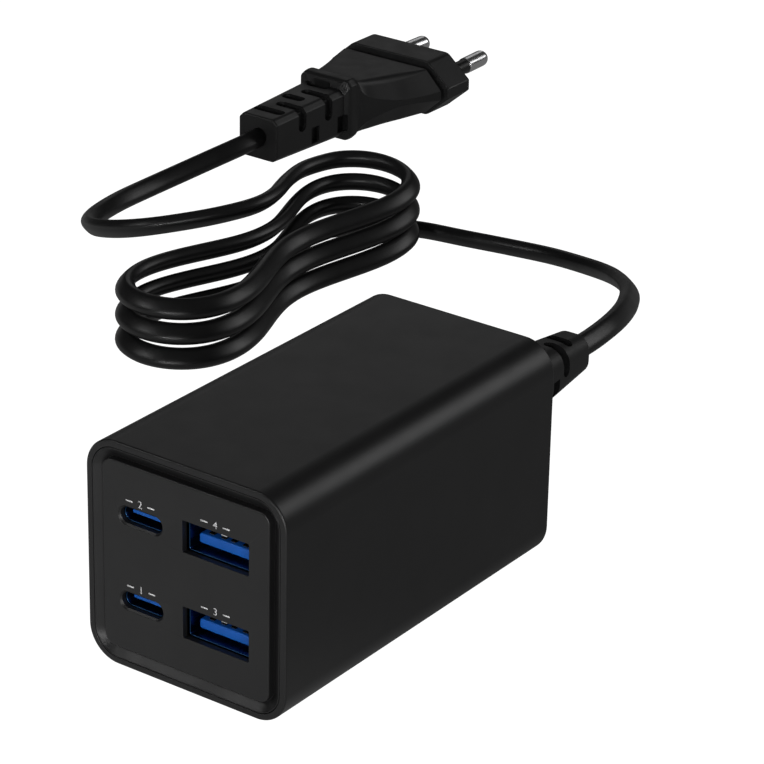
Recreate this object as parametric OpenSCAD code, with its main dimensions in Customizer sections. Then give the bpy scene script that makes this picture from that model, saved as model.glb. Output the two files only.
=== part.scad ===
// Desktop USB charging brick with four ports and a captive lead that ends in a flat
// two-pin mains plug. Millimetres. The origin is under the middle of the brick, on the
// surface that it stands on. The ports face -Y and the lead leaves towards +Y.

/* [Brick] */
// Width and height of the square brick
brick_w = 42; // [41.6:0.1:43]
// Length from the port face to the rear face
brick_l = 77.5; // [77:0.5:82]
// Radius of the four long edges
brick_r = 6.2; // [5.6:0.1:7]
// Thickness of the sleeve's walls
wall = 2; // [1.8:0.05:2]
// Width of the sleeve's rim around each end cover
rim = 1.25; // [1.1:0.05:1.4]

/* [End covers] */
// Depth of the groove that frames the raised panel
groove_depth = 1.5; // [1:0.1:1.8]
// Side of the raised square panel
panel_w = 35; // [34.5:0.1:35.6]
// Corner radius of the raised panel
panel_r = 2; // [1:0.1:3]
// Thickness of the panel's skin around the ports
skin = 1.2; // [1:0.1:1.4]

/* [Ports] */
// Sideways place of the wide ports' column
port_a_x = 6.4; // [6:0.1:6.8]
// Sideways place of the small ports' column
port_c_x = -9.4; // [-9.8:0.1:-9]
// Height of each row above and below the brick's middle
port_row = 8; // [6:0.1:9]

/* [Lead] */
// Width of the flat two-core lead
cord_w = 4.5; // [4.2:0.1:4.8]
// Thickness of the flat two-core lead
cord_t = 3.2; // [2.8:0.1:3.4]
// Length of the tapered boot behind the brick
boot_l = 39.25; // [36:0.25:44]

/* [Mains plug] */
// Diameter of each mains pin
pin_d = 4; // [3.94:0.01:4.06]
// Length of each mains pin in front of the plug's face
pin_l = 19; // [18.5:0.5:19.5]
// Distance between the pins at the plug's face
pin_pitch = 18.6; // [18.4:0.1:18.8]

/* [Hidden] */
$fn = 64;

// Brick
mid_z = brick_w / 2;
front_y = -brick_l / 2;
rear_y = brick_l / 2;
seat_depth = groove_depth + 1.5;
cover_gap = 0.05;
cover_w = brick_w - 2 * rim - 2 * cover_gap;
cover_r = brick_r - rim;
cavity_w = brick_w - 2 * wall;
cover_back = front_y + seat_depth;
rear_cover_front = rear_y - seat_depth;

// Boards
port_board_y = front_y + 14.75;
board_t = 1.6;
rail_h = 3;
board_front = -19;
board_rear = 31;
board_half = 17.2;
board_bottom = wall + rail_h;
board_top = board_bottom + board_t;
post_x = 15.3;
post_dz = 13.5;
spreader_top = 36;

// Ports
shell_front = front_y + skin + 0.05;
a_inner = [12.5, 5.12];
a_shell_t = 0.3;
a_window = [13.8, 5.85];
a_tongue = [11.1, 1.84];
a_tongue_low = 0.76;
a_tongue_back = 2.75;
c_inner = [8.34, 2.56];
c_shell_t = 0.3;
c_window = [8.9, 3.05];
c_window_mouth = [9.5, 3.65];
c_tongue = [6.7, 0.7];
c_tongue_back = 2.1;
port_base = 3;

// Places on the power board
transformer_at = [-6, 1];
choke_at = [-8, 17];
bulk_x = 11.5;
bulk_ys = [1, 12];
output_caps = [[-13, -12.6], [13, -12.6], [-1, -12.6]];
fuse_at = [-12.2, 26];
wire_x = 2;
wire_bend_y = 30;

// Boot, whose rounded square section tapers towards the cord
boot_base = 15.4;
boot_end = 7.8;
boot_r = 5.3;
boot_end_r = 2.7;
boot_flange = [19, 2.5];
boot_y = rear_y + boot_l;
boot_hole = boot_base + 0.3;
boot_slots = 8;
boot_slot_y = boot_y - 5.6;
slot_pitch = 3.8;
slot_w = 2.3;
relief_slot_depth = 1;
entry_depth = 3;
entry = [5.4, 4];

// Flat lead: its broad side leans over towards the left of the way it runs
cord_lean = 42;
cord_sides = 10;
cord_floor = 2.05;

// The lead from the boot down to the surface and across to the hank
lead_route = [
    [0, 75, 21], [0, 84, 21], [-1.1, 93, 20.8], [-4.1, 102.1, 19.3], [-8.3, 111.2, 17.2],
    [-13.9, 121, 14.7], [-21.3, 130.7, 11.5], [-30.2, 140, 8], [-40.5, 147.3, 4.8],
    [-52, 151.4, 2.8], [-63, 151.3, 2.1], [-74, 149.3, 2.05], [-83.5, 147.6, 2.05],
    [-91, 144.4, 2.05], [-97, 139.4, 2.05], [-100.4, 133, 2.05]
];

// The lead from the top of the hank round to the plug
tail_route = [
    [-103.1, 138.3, 16.45], [-104.6, 130.5, 16.45], [-103, 122.6, 16.45],
    [-100.4, 115.2, 16.4], [-99.8, 108, 16.3], [-102.9, 99.9, 15.9], [-108.2, 93.8, 14.9],
    [-115.3, 89.6, 13.2], [-123.8, 89.6, 10.6], [-132.6, 92.9, 7.8], [-139.3, 100, 5.2],
    [-143.9, 108.6, 3.4], [-146.4, 118.3, 2.5], [-146.6, 128.2, 2.5], [-145, 137.4, 3.5],
    [-142.6, 146.2, 5], [-140, 154.5, 6.6], [-139.5, 162.5, 7.1]
];

// Hank: turns shaped like a peanut seen from above, each lying on the last and a little
// further over; the waist terms pinch the middle of each run inwards and square up the ends
hank_centre = [-89.5, 100.2];
hank_half = [16.3, 39.1];
hank_waist = [12, 2.5];
hank_skew = 0.9;
hank_step = [-0.9, 1.2, 4.8];
hank_levels = 4;
hank_points = 64;

// Plug, whose own axis runs along +Y from the face that the cord enters
plug_at = [-139.5, 159.5, 7.1];
relief_l = 26;
relief_end = [11.2, 10.6];
relief_r = 1.5;
relief_grow = 1.3;
relief_slots = 5;
relief_slot_y = 4.6;
relief_slot_pitch = 4.9;
relief_slot_w = 2.8;
collar_size = [15, 15.2];
collar_rise = 0.5;
collar_r = 1.6;
face_y = 61.15;
face_w = 35.3;
face_h = 13.7;
face_cut = 5.6;
flange_t = 9.05;
neck_t = 2;
neck_inset = [2.3, 1.85];
groove_y = face_y - flange_t - neck_t;
insert_size = [26, 15, 8.8];
insert_r = 4;
pin_core = 1.6;
pin_in_body = 10;
pin_sleeve_l = 10;
pin_sleeve_r = pin_d / 2 - 0.2;
pin_tips = 17.5;
pin_tilt = atan((pin_pitch - pin_tips) / 2 / pin_l);
// Sections of the plug's body: place along its axis, width, height and corner cut
plug_sections = [
    [relief_l + 3, 15.2, 12.9, 3.4], [34, 18, 12.8, 4.4], [41, 25.3, 12.2, 4.8],
    [groove_y, face_w - 2, face_h - 2.4, 4.6]
];

// ---------------------------------------------------------------- helpers

// A square-cornered outline with rounded corners, centred
module rounded(w, h, r) {
    square([w - 2 * r, h], center = true);
    square([w, h - 2 * r], center = true);
    for (x = [-1, 1], y = [-1, 1])
        translate([x * (w / 2 - r), y * (h / 2 - r)]) circle(r);
}

// A slot outline with half-round ends, centred
module stadium(w, h) {
    square([w - h, h], center = true);
    for (x = [-1, 1])
        translate([x * (w - h) / 2, 0]) circle(h / 2);
}

// Raises an outline drawn in X and Z between two places along Y
module along_y(y0, y1) {
    translate([0, y1, 0]) rotate([90, 0, 0]) linear_extrude(y1 - y0) children();
}

// A box from its low corner to its high corner
module block(low, high) {
    translate(low) cube(high - low);
}

// An upright can
module can(x, y, r, z0, z1) {
    translate([x, y, z0]) cylinder(r = r, h = z1 - z0);
}

// Places the children at one port's middle; row is 1 above and -1 below
module at_port(x, row) {
    translate([x, 0, mid_z + row * port_row]) children();
}

// ---------------------------------------------------------------- housing

module housing_sleeve() {
    color([0.18, 0.18, 0.18]) {
        difference() {
            translate([0, 0, mid_z])
                along_y(front_y, rear_y) rounded(brick_w, brick_w, brick_r);
            translate([0, 0, mid_z]) {
                along_y(front_y - 1, rear_y + 1) rounded(cavity_w, cavity_w, brick_r - wall);
                for (y = [front_y - 1, rear_y - seat_depth])
                    along_y(y, y + seat_depth + 1)
                        rounded(cover_w + 2 * cover_gap, cover_w + 2 * cover_gap, cover_r);
            }
        }
        for (x = [-15, 13])
            block([x, board_front, wall - 0.2], [x + 2, board_rear, board_bottom]);
    }
}

// The sloped frame that is cut away around a cover's raised panel
module frame_groove() {
    difference() {
        hull() {
            along_y(front_y - 0.2, front_y + 0.15) rounded(cover_w + 1, cover_w + 1, cover_r, $fn = 32);
            along_y(front_y + groove_depth - 0.1, front_y + groove_depth)
                rounded(panel_w + 0.2, panel_w + 0.2, panel_r, $fn = 32);
        }
        along_y(front_y - 1, front_y + groove_depth + 1) rounded(panel_w, panel_w, panel_r);
    }
}

module cover_plate() {
    difference() {
        along_y(front_y, cover_back) rounded(cover_w, cover_w, cover_r);
        frame_groove();
    }
    for (x = [-1, 1], z = [-6, 6])
        translate([x * 17.6, 0, z]) block([-0.6, cover_back - 0.1, -2], [0.6, cover_back + 4, 2]);
}

module front_cover() {
    color([0.2, 0.2, 0.2])
        difference() {
            union() {
                translate([0, 0, mid_z])
                    difference() {
                        cover_plate();
                        along_y(front_y + skin, cover_back + 0.1)
                            rounded(panel_w - 2.6, panel_w - 2.6, panel_r - 0.7);
                    }
                for (x = [-1, 1], z = [-1, 1])
                    translate([x * post_x, 0, mid_z + z * post_dz])
                        along_y(front_y + skin - 0.1, port_board_y) circle(1.6);
            }
            for (x = [-1, 1], z = [-1, 1])
                translate([x * post_x, 0, mid_z + z * post_dz])
                    along_y(port_board_y - 7, port_board_y + 1) circle(1);
            for (row = [-1, 1]) {
                at_port(port_a_x, row)
                    along_y(front_y - 1, front_y + skin + 1) square(a_window, center = true);
                at_port(port_c_x, row) {
                    along_y(front_y - 1, front_y + skin + 1) stadium(c_window[0], c_window[1]);
                    along_y(front_y - 1, front_y + 0.35) stadium(c_window_mouth[0], c_window_mouth[1]);
                }
            }
        }
}

module rear_cover() {
    color([0.2, 0.2, 0.2])
        translate([0, 0, mid_z])
            difference() {
                rotate([0, 0, 180]) cover_plate();
                along_y(rear_y - seat_depth - 1, rear_y + 1)
                    rounded(boot_hole, boot_hole, boot_r + 0.15);
            }
}

// ---------------------------------------------------------------- ports

module usb_a_shell(row) {
    color([0.72, 0.73, 0.75])
        at_port(port_a_x, row)
            difference() {
                along_y(shell_front, port_board_y)
                    rounded(a_inner[0] + 2 * a_shell_t, a_inner[1] + 2 * a_shell_t, 0.5);
                along_y(shell_front - 1, port_board_y + 1) square(a_inner, center = true);
            }
}

module usb_a_tongue(row) {
    low = -a_inner[1] / 2 + a_tongue_low;
    tip = front_y + a_tongue_back;
    color([0.12, 0.36, 0.71])
        at_port(port_a_x, row) {
            block([-a_inner[0] / 2, port_board_y - port_base, -a_inner[1] / 2],
                  [a_inner[0] / 2, port_board_y, a_inner[1] / 2]);
            block([-a_tongue[0] / 2, tip, low],
                  [a_tongue[0] / 2, port_board_y - port_base, low + a_tongue[1]]);
        }
}

module usb_a_contacts(row) {
    top = -a_inner[1] / 2 + a_tongue_low + a_tongue[1];
    color([0.85, 0.68, 0.3])
        at_port(port_a_x, row)
            for (x = [-3.5, -1, 1, 3.5])
                block([x - 0.5, front_y + a_tongue_back + 0.7, top],
                      [x + 0.5, port_board_y - port_base, top + 0.15]);
}

module usb_c_shell(row) {
    color([0.72, 0.73, 0.75])
        at_port(port_c_x, row)
            difference() {
                along_y(shell_front, port_board_y)
                    stadium(c_inner[0] + 2 * c_shell_t, c_inner[1] + 2 * c_shell_t);
                along_y(shell_front - 1, port_board_y + 1) stadium(c_inner[0], c_inner[1]);
            }
}

module usb_c_tongue(row) {
    color([0.12, 0.36, 0.71])
        at_port(port_c_x, row) {
            along_y(port_board_y - port_base, port_board_y) stadium(c_inner[0], c_inner[1]);
            block([-c_tongue[0] / 2, front_y + c_tongue_back, -c_tongue[1] / 2],
                  [c_tongue[0] / 2, port_board_y - port_base, c_tongue[1] / 2]);
        }
}

module usb_c_contacts(row) {
    color([0.85, 0.68, 0.3])
        at_port(port_c_x, row)
            for (k = [0:11], side = [-1, 1])
                translate([(k - 5.5) * 0.5, front_y + c_tongue_back + 0.6, side * (c_tongue[1] / 2 + 0.05)])
                    translate([0, 4, 0]) cube([0.25, 8, 0.1], center = true);
}

// ---------------------------------------------------------------- boards

module port_board() {
    color([0.1, 0.35, 0.2])
        difference() {
            translate([0, 0, mid_z])
                along_y(port_board_y, port_board_y + board_t) rounded(35, 34, 1.5);
            for (x = [-1, 1], z = [-1, 1])
                translate([x * post_x, 0, mid_z + z * post_dz])
                    along_y(port_board_y - 1, port_board_y + board_t + 1) circle(1.1);
        }
}

module board_screws() {
    back = port_board_y + board_t;
    color([0.75, 0.75, 0.78])
        for (x = [-1, 1], z = [-1, 1])
            translate([x * post_x, 0, mid_z + z * post_dz]) {
                along_y(port_board_y - 5, back) circle(0.95);
                along_y(back, back + 1.3) circle(1.75);
            }
}

module port_controllers() {
    back = port_board_y + board_t;
    color([0.12, 0.12, 0.13])
        for (p = [[-9.4, 29], [-9.4, 13], [6.4, 25], [6.4, 17]])
            translate([p[0], 0, p[1]]) block([-2.5, back, -2.5], [2.5, back + 0.9, 2.5]);
}

module buck_inductors() {
    back = port_board_y + board_t;
    color([0.35, 0.35, 0.36])
        for (p = [[-1.5, 30.5], [-1.5, 13.5], [12.6, 26], [12.6, 16]])
            translate([p[0], 0, p[1]]) block([-3, back, -3], [3, back + 2.8, 3]);
}

module power_board() {
    color([0.1, 0.35, 0.2])
        block([-board_half, board_front, board_bottom], [board_half, board_rear, board_top]);
}

module board_header() {
    color([0.1, 0.1, 0.1])
        block([-8, board_front + 0.5, board_top], [8, board_front + 2.5, board_top + 2.5]);
}

module header_pins() {
    color([0.85, 0.68, 0.3])
        for (k = [-2.5:2.5])
            translate([k * 2.54, 0, board_top + 1.25])
                along_y(port_board_y + board_t, board_front + 0.5) circle(0.32);
}

// ---------------------------------------------------------------- mains side and conversion

module transformer_core() {
    color([0.25, 0.25, 0.27])
        translate([transformer_at[0], transformer_at[1], 0]) {
            for (z = [8, 30])
                block([-9.4, -5, z], [9.4, 5, z + 4]);
            for (x = [-9.4, 7.9])
                block([x, -5, 11.9], [x + 1.5, 5, 30.1]);
            can(0, 0, 4, 11.9, 30.1);
        }
}

module transformer_bobbin() {
    color([0.15, 0.15, 0.16])
        translate([transformer_at[0], transformer_at[1], 0])
            difference() {
                union() {
                    can(0, 0, 5, 12, 30);
                    for (z = [12, 29])
                        can(0, 0, 7.7, z, z + 1);
                    for (y = [-7.7, 5.2])
                        block([-6.5, y, board_top], [6.5, y + 2.5, 13]);
                }
                can(0, 0, 4.1, 11, 31);
            }
}

module transformer_winding() {
    color([0.85, 0.7, 0.2])
        translate([transformer_at[0], transformer_at[1], 0])
            difference() {
                can(0, 0, 7.3, 13.05, 28.95);
                can(0, 0, 5.05, 12, 30);
            }
}

// The common-mode choke stands on its edge with its axis along Y
module choke_core() {
    color([0.3, 0.45, 0.35])
        translate([choke_at[0], choke_at[1], board_top + 9])
            along_y(-3, 3)
                difference() {
                    circle(7.5);
                    circle(4.4);
                }
}

module choke_windings() {
    color([0.72, 0.4, 0.2])
        translate([choke_at[0], choke_at[1], board_top + 9])
            rotate([90, 0, 0])
                for (turn = [-65, 115])
                    rotate([0, 0, turn])
                        rotate_extrude(angle = 130)
                            difference() {
                                translate([3.4, -4]) square([5.1, 8]);
                                translate([4.3, -3.1]) square([3.3, 6.2]);
                            }
}

module bulk_capacitors() {
    color([0.15, 0.2, 0.35])
        for (y = bulk_ys)
            can(bulk_x, y, 5, board_top, board_top + 25);
}

module output_capacitors() {
    color([0.6, 0.62, 0.66])
        for (p = output_caps)
            can(p[0], p[1], 3.15, board_top, board_top + 9);
}

module x_capacitor() {
    color([0.85, 0.75, 0.2])
        block([4, 18.5, board_top], [17, 24.5, board_top + 12]);
}

module y_capacitor() {
    color([0.2, 0.45, 0.7])
        translate([6.6, 0, board_top + 4.2]) along_y(-9.2, -5.9) circle(3.75);
}

module fuse() {
    color([0.2, 0.2, 0.2]) can(fuse_at[0], fuse_at[1], 4, board_top, board_top + 8);
}

module varistor() {
    color([0.15, 0.35, 0.65])
        translate([12, 0, board_top + 5.5]) along_y(26, 30) circle(4.9);
}

module bridge_rectifier() {
    color([0.12, 0.12, 0.12]) block([-7, 22.4, board_top], [1, 24.9, board_top + 9]);
}

module power_switch() {
    color([0.12, 0.12, 0.12]) block([-9.7, -12, board_top], [-4.7, -7.6, board_top + 0.9]);
}

module optocoupler() {
    color([0.9, 0.9, 0.88]) block([11.7, -9.2, board_top], [16.3, -4.6, board_top + 3.4]);
}

module thermal_pad() {
    color([0.75, 0.55, 0.65])
        block([transformer_at[0] - 9, transformer_at[1] - 5, 34],
              [transformer_at[0] + 9, transformer_at[1] + 5, spreader_top]);
}

module heat_spreader() {
    color([0.8, 0.5, 0.32]) {
        block([-18.2, -17, spreader_top], [18.2, 29, spreader_top + 0.6]);
        for (x = [-18.2, 17.6])
            block([x, -17, 8], [x + 0.6, 29, spreader_top + 0.1]);
    }
}

module insulating_sheet() {
    color([0.9, 0.88, 0.7]) block([-12.8, board_front, wall], [12.8, board_rear, wall + 0.3]);
}

module mains_wires() {
    for (side = [-1, 1])
        color(side < 0 ? [0.2, 0.35, 0.7] : [0.45, 0.28, 0.15])
            translate([side * wire_x, 0, 0]) {
                translate([0, 0, mid_z])
                    along_y(wire_bend_y, rear_cover_front - boot_flange[1]) circle(0.9);
                translate([0, wire_bend_y, mid_z]) sphere(0.9);
                can(0, wire_bend_y, 0.9, board_top, mid_z);
            }
}

// ---------------------------------------------------------------- boot

// Cutters for the slots round one place of a strain relief, whose half-width, half-height and
// corner radius there are reach_x, reach_z and r. "oval" cuts a slot above and below and, where
// sides is true, a short one in each side; "corner" cuts one slot over the top and down a side,
// and its mirror image below.
module relief_slot(reach_x, reach_z, r, width, style, sides) {
    depth = relief_slot_depth;
    along_y(-width / 2, width / 2)
        intersection() {
            difference() {
                square(4 * [reach_x, reach_z], center = true);
                rounded(2 * (reach_x - depth), 2 * (reach_z - depth), max(r - depth, 0.4));
            }
            union() {
                if (style == "oval") square([reach_x * 1.15, 4 * reach_z], center = true);
                if (style == "oval" && sides) square([4 * reach_x, reach_z * 0.85], center = true);
                if (style == "corner")
                    for (turn = [0, 180])
                        rotate(turn)
                            translate([-reach_x * 0.1, -reach_z * 0.25]) square(2 * [reach_x, reach_z]);
            }
        }
}

function boot_mix(from, to, y) = from + (to - from) * (y - rear_y) / boot_l;

module cable_boot() {
    color([0.16, 0.16, 0.16])
        translate([0, 0, mid_z])
            difference() {
                union() {
                    along_y(rear_cover_front - boot_flange[1], rear_cover_front)
                        rounded(boot_flange[0], boot_flange[0], boot_r);
                    along_y(rear_cover_front - 0.1, rear_y) rounded(boot_base, boot_base, boot_r);
                    hull() {
                        along_y(rear_y - 0.1, rear_y) rounded(boot_base, boot_base, boot_r, $fn = 32);
                        along_y(boot_y - 0.1, boot_y) rounded(boot_end, boot_end, boot_end_r, $fn = 32);
                    }
                }
                for (k = [0:boot_slots - 1]) {
                    y = boot_slot_y - k * slot_pitch;
                    half = boot_mix(boot_base, boot_end, y) / 2;
                    translate([0, y, 0])
                        relief_slot(half, half, boot_mix(boot_r, boot_end_r, y), slot_w,
                                    k % 2 == 0 ? "oval" : "corner", k > 0);
                }
                along_y(boot_y - entry_depth, boot_y + 1) rotate(90 + cord_lean) stadium(entry[0], entry[1]);
            }
}

// ---------------------------------------------------------------- lead

function unit(v) = v / norm(v);
function way(route, i) = unit(route[min(i + 1, len(route) - 1)] - route[max(i - 1, 0)]);
function cord_ring(centre, dir) =
    let (
        left = unit(cross([0, 0, 1], dir)),
        up = cross(dir, left),
        broad = up * cos(cord_lean) + left * sin(cord_lean),
        narrow = left * cos(cord_lean) - up * sin(cord_lean)
    )
    [for (k = [0:cord_sides - 1])
        let (a = 360 * k / cord_sides)
        centre + broad * cord_w / 2 * cos(a) + narrow * cord_t / 2 * sin(a)];

// One closed tube along a route, a ring at each of its points
module cord_tube(route) {
    n = len(route);
    s = cord_sides;
    rings = [for (i = [0:n - 1]) each cord_ring(route[i], way(route, i))];
    ends = [[for (k = [s - 1:-1:0]) k], [for (k = [0:s - 1]) (n - 1) * s + k]];
    sides = [for (i = [0:n - 2], k = [0:s - 1])
        [i * s + k, i * s + (k + 1) % s, (i + 1) * s + (k + 1) % s, (i + 1) * s + k]];
    polyhedron(rings, concat(ends, sides));
}

module lead_start() {
    color([0.14, 0.14, 0.14]) cord_tube(lead_route);
}

module lead_tail() {
    color([0.14, 0.14, 0.14]) cord_tube(tail_route);
}

// One turn of the hank seen from above, at the angle a around it
function turn_at(a) = hank_centre + [
    sin(a) * (hank_half[0] + hank_waist[0] * cos(2 * a) + hank_skew * cos(3 * a)),
    hank_half[1] * cos(a) + hank_waist[1] * cos(3 * a)
];
function turn_outside(a) =
    let (along = unit(turn_at(a + 1) - turn_at(a - 1)))
    turn_at(a) + cord_w / 2 * [-along[1], along[0]];

module lead_hank() {
    color([0.14, 0.14, 0.14])
        for (level = [0:hank_levels - 1])
            translate(hank_step * level)
                translate([0, 0, level == 0 ? 0.05 : -0.1])
                    linear_extrude(hank_step[2] - (level == hank_levels - 1 ? 0.8 : 0))
                        polygon([for (k = [0:hank_points - 1]) turn_outside(360 * k / hank_points)]);
}

// ---------------------------------------------------------------- mains plug

// The plug's eight-sided outline, w wide and h high with its corners cut off by c
module eight_sided(w, h, c) {
    polygon([
        [w / 2, h / 2 - c], [w / 2 - c * 1.15, h / 2], [c * 1.15 - w / 2, h / 2], [-w / 2, h / 2 - c],
        [-w / 2, c - h / 2], [c * 1.15 - w / 2, -h / 2], [w / 2 - c * 1.15, -h / 2], [w / 2, c - h / 2]
    ]);
}

module at_plug() {
    translate(plug_at) children();
}

module plug_section(s) {
    along_y(s[0] - 0.1, s[0]) eight_sided(s[1], s[2], s[3]);
}

module plug_relief() {
    far_end = relief_end + [relief_grow, relief_grow];
    hull() {
        along_y(0, 0.1) rounded(relief_end[0], relief_end[1], relief_r, $fn = 32);
        along_y(relief_l, relief_l + 0.1) rounded(far_end[0], far_end[1], relief_r, $fn = 32);
    }
}

// The collar, then the body that widens to the groove, then the flange behind the face
module plug_outside() {
    plug_relief();
    hull() {
        along_y(relief_l - 0.7, relief_l)
            translate([0, collar_rise])
                rounded(collar_size[0] - 1.6, collar_size[1] - 1.6, collar_r, $fn = 32);
        along_y(relief_l + 0.8, relief_l + 3.6)
            translate([0, collar_rise]) rounded(collar_size[0], collar_size[1], collar_r, $fn = 32);
    }
    for (k = [1:len(plug_sections) - 1])
        hull() {
            plug_section(plug_sections[k - 1]);
            plug_section(plug_sections[k]);
        }
    along_y(groove_y - 0.2, groove_y + neck_t + 0.2)
        eight_sided(face_w - 2 * neck_inset[0], face_h - 2 * neck_inset[1], face_cut - 0.6);
    along_y(face_y - flange_t, face_y) eight_sided(face_w, face_h, face_cut);
}

module plug_body() {
    color([0.2, 0.2, 0.2])
        at_plug()
            difference() {
                plug_outside();
                for (k = [0:relief_slots - 1])
                    translate([0, relief_slot_y + k * relief_slot_pitch, 0])
                        relief_slot(relief_end[0] / 2 + k * 0.15, relief_end[1] / 2 + k * 0.15,
                                    relief_r, relief_slot_w, k % 2 == 0 ? "oval" : "corner", k > 0);
                along_y(-1, entry_depth) rotate(90 + cord_lean) stadium(entry[0], entry[1]);
                along_y(face_y - insert_size[1], face_y + 1)
                    rounded(insert_size[0], insert_size[2], insert_r);
            }
}

// Runs the children out from the face at each pin, leaning inwards as the pins do
module at_pins() {
    at_plug()
        for (side = [-1, 1])
            translate([side * pin_pitch / 2, face_y, 0])
                rotate([0, 0, side * pin_tilt])
                    rotate([-90, 0, 0]) children();
}

module plug_insert() {
    color([0.14, 0.14, 0.14])
        difference() {
            at_plug()
                along_y(face_y - insert_size[1], face_y) rounded(insert_size[0], insert_size[2], insert_r);
            at_pins() translate([0, 0, -pin_in_body]) cylinder(r = pin_core + 0.02, h = pin_in_body + 1);
        }
}

module plug_pins() {
    color([0.85, 0.86, 0.88])
        at_pins() {
            translate([0, 0, -pin_in_body]) cylinder(r = pin_core, h = pin_in_body + pin_sleeve_l + 0.1);
            translate([0, 0, pin_sleeve_l]) cylinder(r = pin_d / 2, h = pin_l - pin_sleeve_l - pin_d / 2);
            translate([0, 0, pin_l - pin_d / 2]) sphere(pin_d / 2);
        }
}

module plug_pin_sleeves() {
    color([0.12, 0.12, 0.12])
        at_pins()
            translate([0, 0, 0.3])
                difference() {
                    cylinder(r = pin_sleeve_r, h = pin_sleeve_l - 0.3);
                    translate([0, 0, -1]) cylinder(r = pin_core + 0.02, h = pin_sleeve_l + 2);
                }
}

// ---------------------------------------------------------------- nodes

housing_sleeve();
front_cover();
rear_cover();
usb_a_shell(1);  // usb_a_shell_upper
usb_a_shell(-1);  // usb_a_shell_lower
usb_a_tongue(1);  // usb_a_tongue_upper
usb_a_tongue(-1);  // usb_a_tongue_lower
usb_a_contacts(1);  // usb_a_contacts_upper
usb_a_contacts(-1);  // usb_a_contacts_lower
usb_c_shell(1);  // usb_c_shell_upper
usb_c_shell(-1);  // usb_c_shell_lower
usb_c_tongue(1);  // usb_c_tongue_upper
usb_c_tongue(-1);  // usb_c_tongue_lower
usb_c_contacts(1);  // usb_c_contacts_upper
usb_c_contacts(-1);  // usb_c_contacts_lower
port_board();
board_screws();
port_controllers();
buck_inductors();
power_board();
board_header();
header_pins();
transformer_core();
transformer_bobbin();
transformer_winding();
choke_core();
choke_windings();
bulk_capacitors();
output_capacitors();
x_capacitor();
y_capacitor();
fuse();
varistor();
bridge_rectifier();
power_switch();
optocoupler();
thermal_pad();
heat_spreader();
insulating_sheet();
mains_wires();
cable_boot();
lead_start();
lead_hank();
lead_tail();
plug_body();
plug_insert();
plug_pins();
plug_pin_sleeves();
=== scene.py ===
import math

import bmesh
import bpy
from mathutils import Matrix, Vector
from mathutils.geometry import tessellate_polygon


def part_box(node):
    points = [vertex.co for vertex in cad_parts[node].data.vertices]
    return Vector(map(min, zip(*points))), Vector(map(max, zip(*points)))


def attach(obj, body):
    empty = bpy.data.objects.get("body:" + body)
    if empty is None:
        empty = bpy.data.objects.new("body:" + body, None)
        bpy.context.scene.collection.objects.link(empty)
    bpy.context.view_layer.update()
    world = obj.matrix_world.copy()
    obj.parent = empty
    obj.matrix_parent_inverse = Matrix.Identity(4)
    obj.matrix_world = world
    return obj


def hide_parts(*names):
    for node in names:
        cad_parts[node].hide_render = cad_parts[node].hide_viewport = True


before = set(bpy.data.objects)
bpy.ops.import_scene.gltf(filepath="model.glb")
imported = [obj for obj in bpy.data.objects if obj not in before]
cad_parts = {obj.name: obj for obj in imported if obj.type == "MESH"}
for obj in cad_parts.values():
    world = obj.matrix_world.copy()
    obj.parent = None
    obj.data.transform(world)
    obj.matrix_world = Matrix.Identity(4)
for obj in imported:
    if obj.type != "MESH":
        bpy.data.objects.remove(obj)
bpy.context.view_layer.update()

MM = 0.001
ROOT = "root"
UP = Vector((0, 0, 1))

# ---------------- places from the frame


def box_of(node):
    """The low and high corners of a CAD node's box."""
    return [Vector(corner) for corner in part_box(node)]


def middle(node):
    low, high = box_of(node)
    return (low + high) / 2


BRICK_LOW, BRICK_HIGH = box_of("housing_sleeve")
BRICK_HALF = (BRICK_HIGH.x - BRICK_LOW.x) / 2
BRICK_MID = (BRICK_LOW.z + BRICK_HIGH.z) / 2
FRONT_Y = BRICK_LOW.y
REAR_Y = BRICK_HIGH.y

# ---------------- camera

CAMERA_AROUND = math.radians(35.54)
CAMERA_UP = math.radians(24.88)
CAMERA_ROLL = math.radians(1.19)
CAMERA_PLACE = Vector((306.89, -413.76, 281.91)) * MM
CAMERA_LENS = 157.2


def add_to_scene(name, data):
    made = bpy.data.objects.new(name, data)
    bpy.context.scene.collection.objects.link(made)
    return made


def make_camera():
    data = bpy.data.cameras.new("camera")
    data.lens = CAMERA_LENS
    data.sensor_width = 36
    data.clip_end = 20
    camera = add_to_scene("camera", data)
    back = Vector((
        math.sin(CAMERA_AROUND) * math.cos(CAMERA_UP),
        -math.cos(CAMERA_AROUND) * math.cos(CAMERA_UP),
        math.sin(CAMERA_UP),
    ))
    right = UP.cross(back).normalized()
    up = back.cross(right)
    turn = Matrix((right, up, back)).transposed()
    roll = Matrix.Rotation(CAMERA_ROLL, 3, "Z")
    camera.matrix_world = Matrix.Translation(CAMERA_PLACE) @ (turn @ roll).to_4x4()
    bpy.context.scene.camera = camera


make_camera()

# ---------------- mesh helpers


def finish_piece(piece, slot, *replaces, sharp=32, material=None):
    """Shades a piece smooth but crisp at its edges, with large faces kept flat, and hands it to the
    frame. Its material is its slot's, unless another is named."""
    piece.data.shade_smooth()
    piece.data.set_sharp_from_angle(angle=math.radians(sharp))
    weighted = piece.modifiers.new("weighted", "WEIGHTED_NORMAL")
    weighted.keep_sharp = True
    weighted.weight = 80
    piece.data.materials.clear()
    piece.data.materials.append(MATERIALS[material or slot])
    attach(piece, ROOT)
    if replaces:
        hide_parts(*replaces)
    return piece


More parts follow.
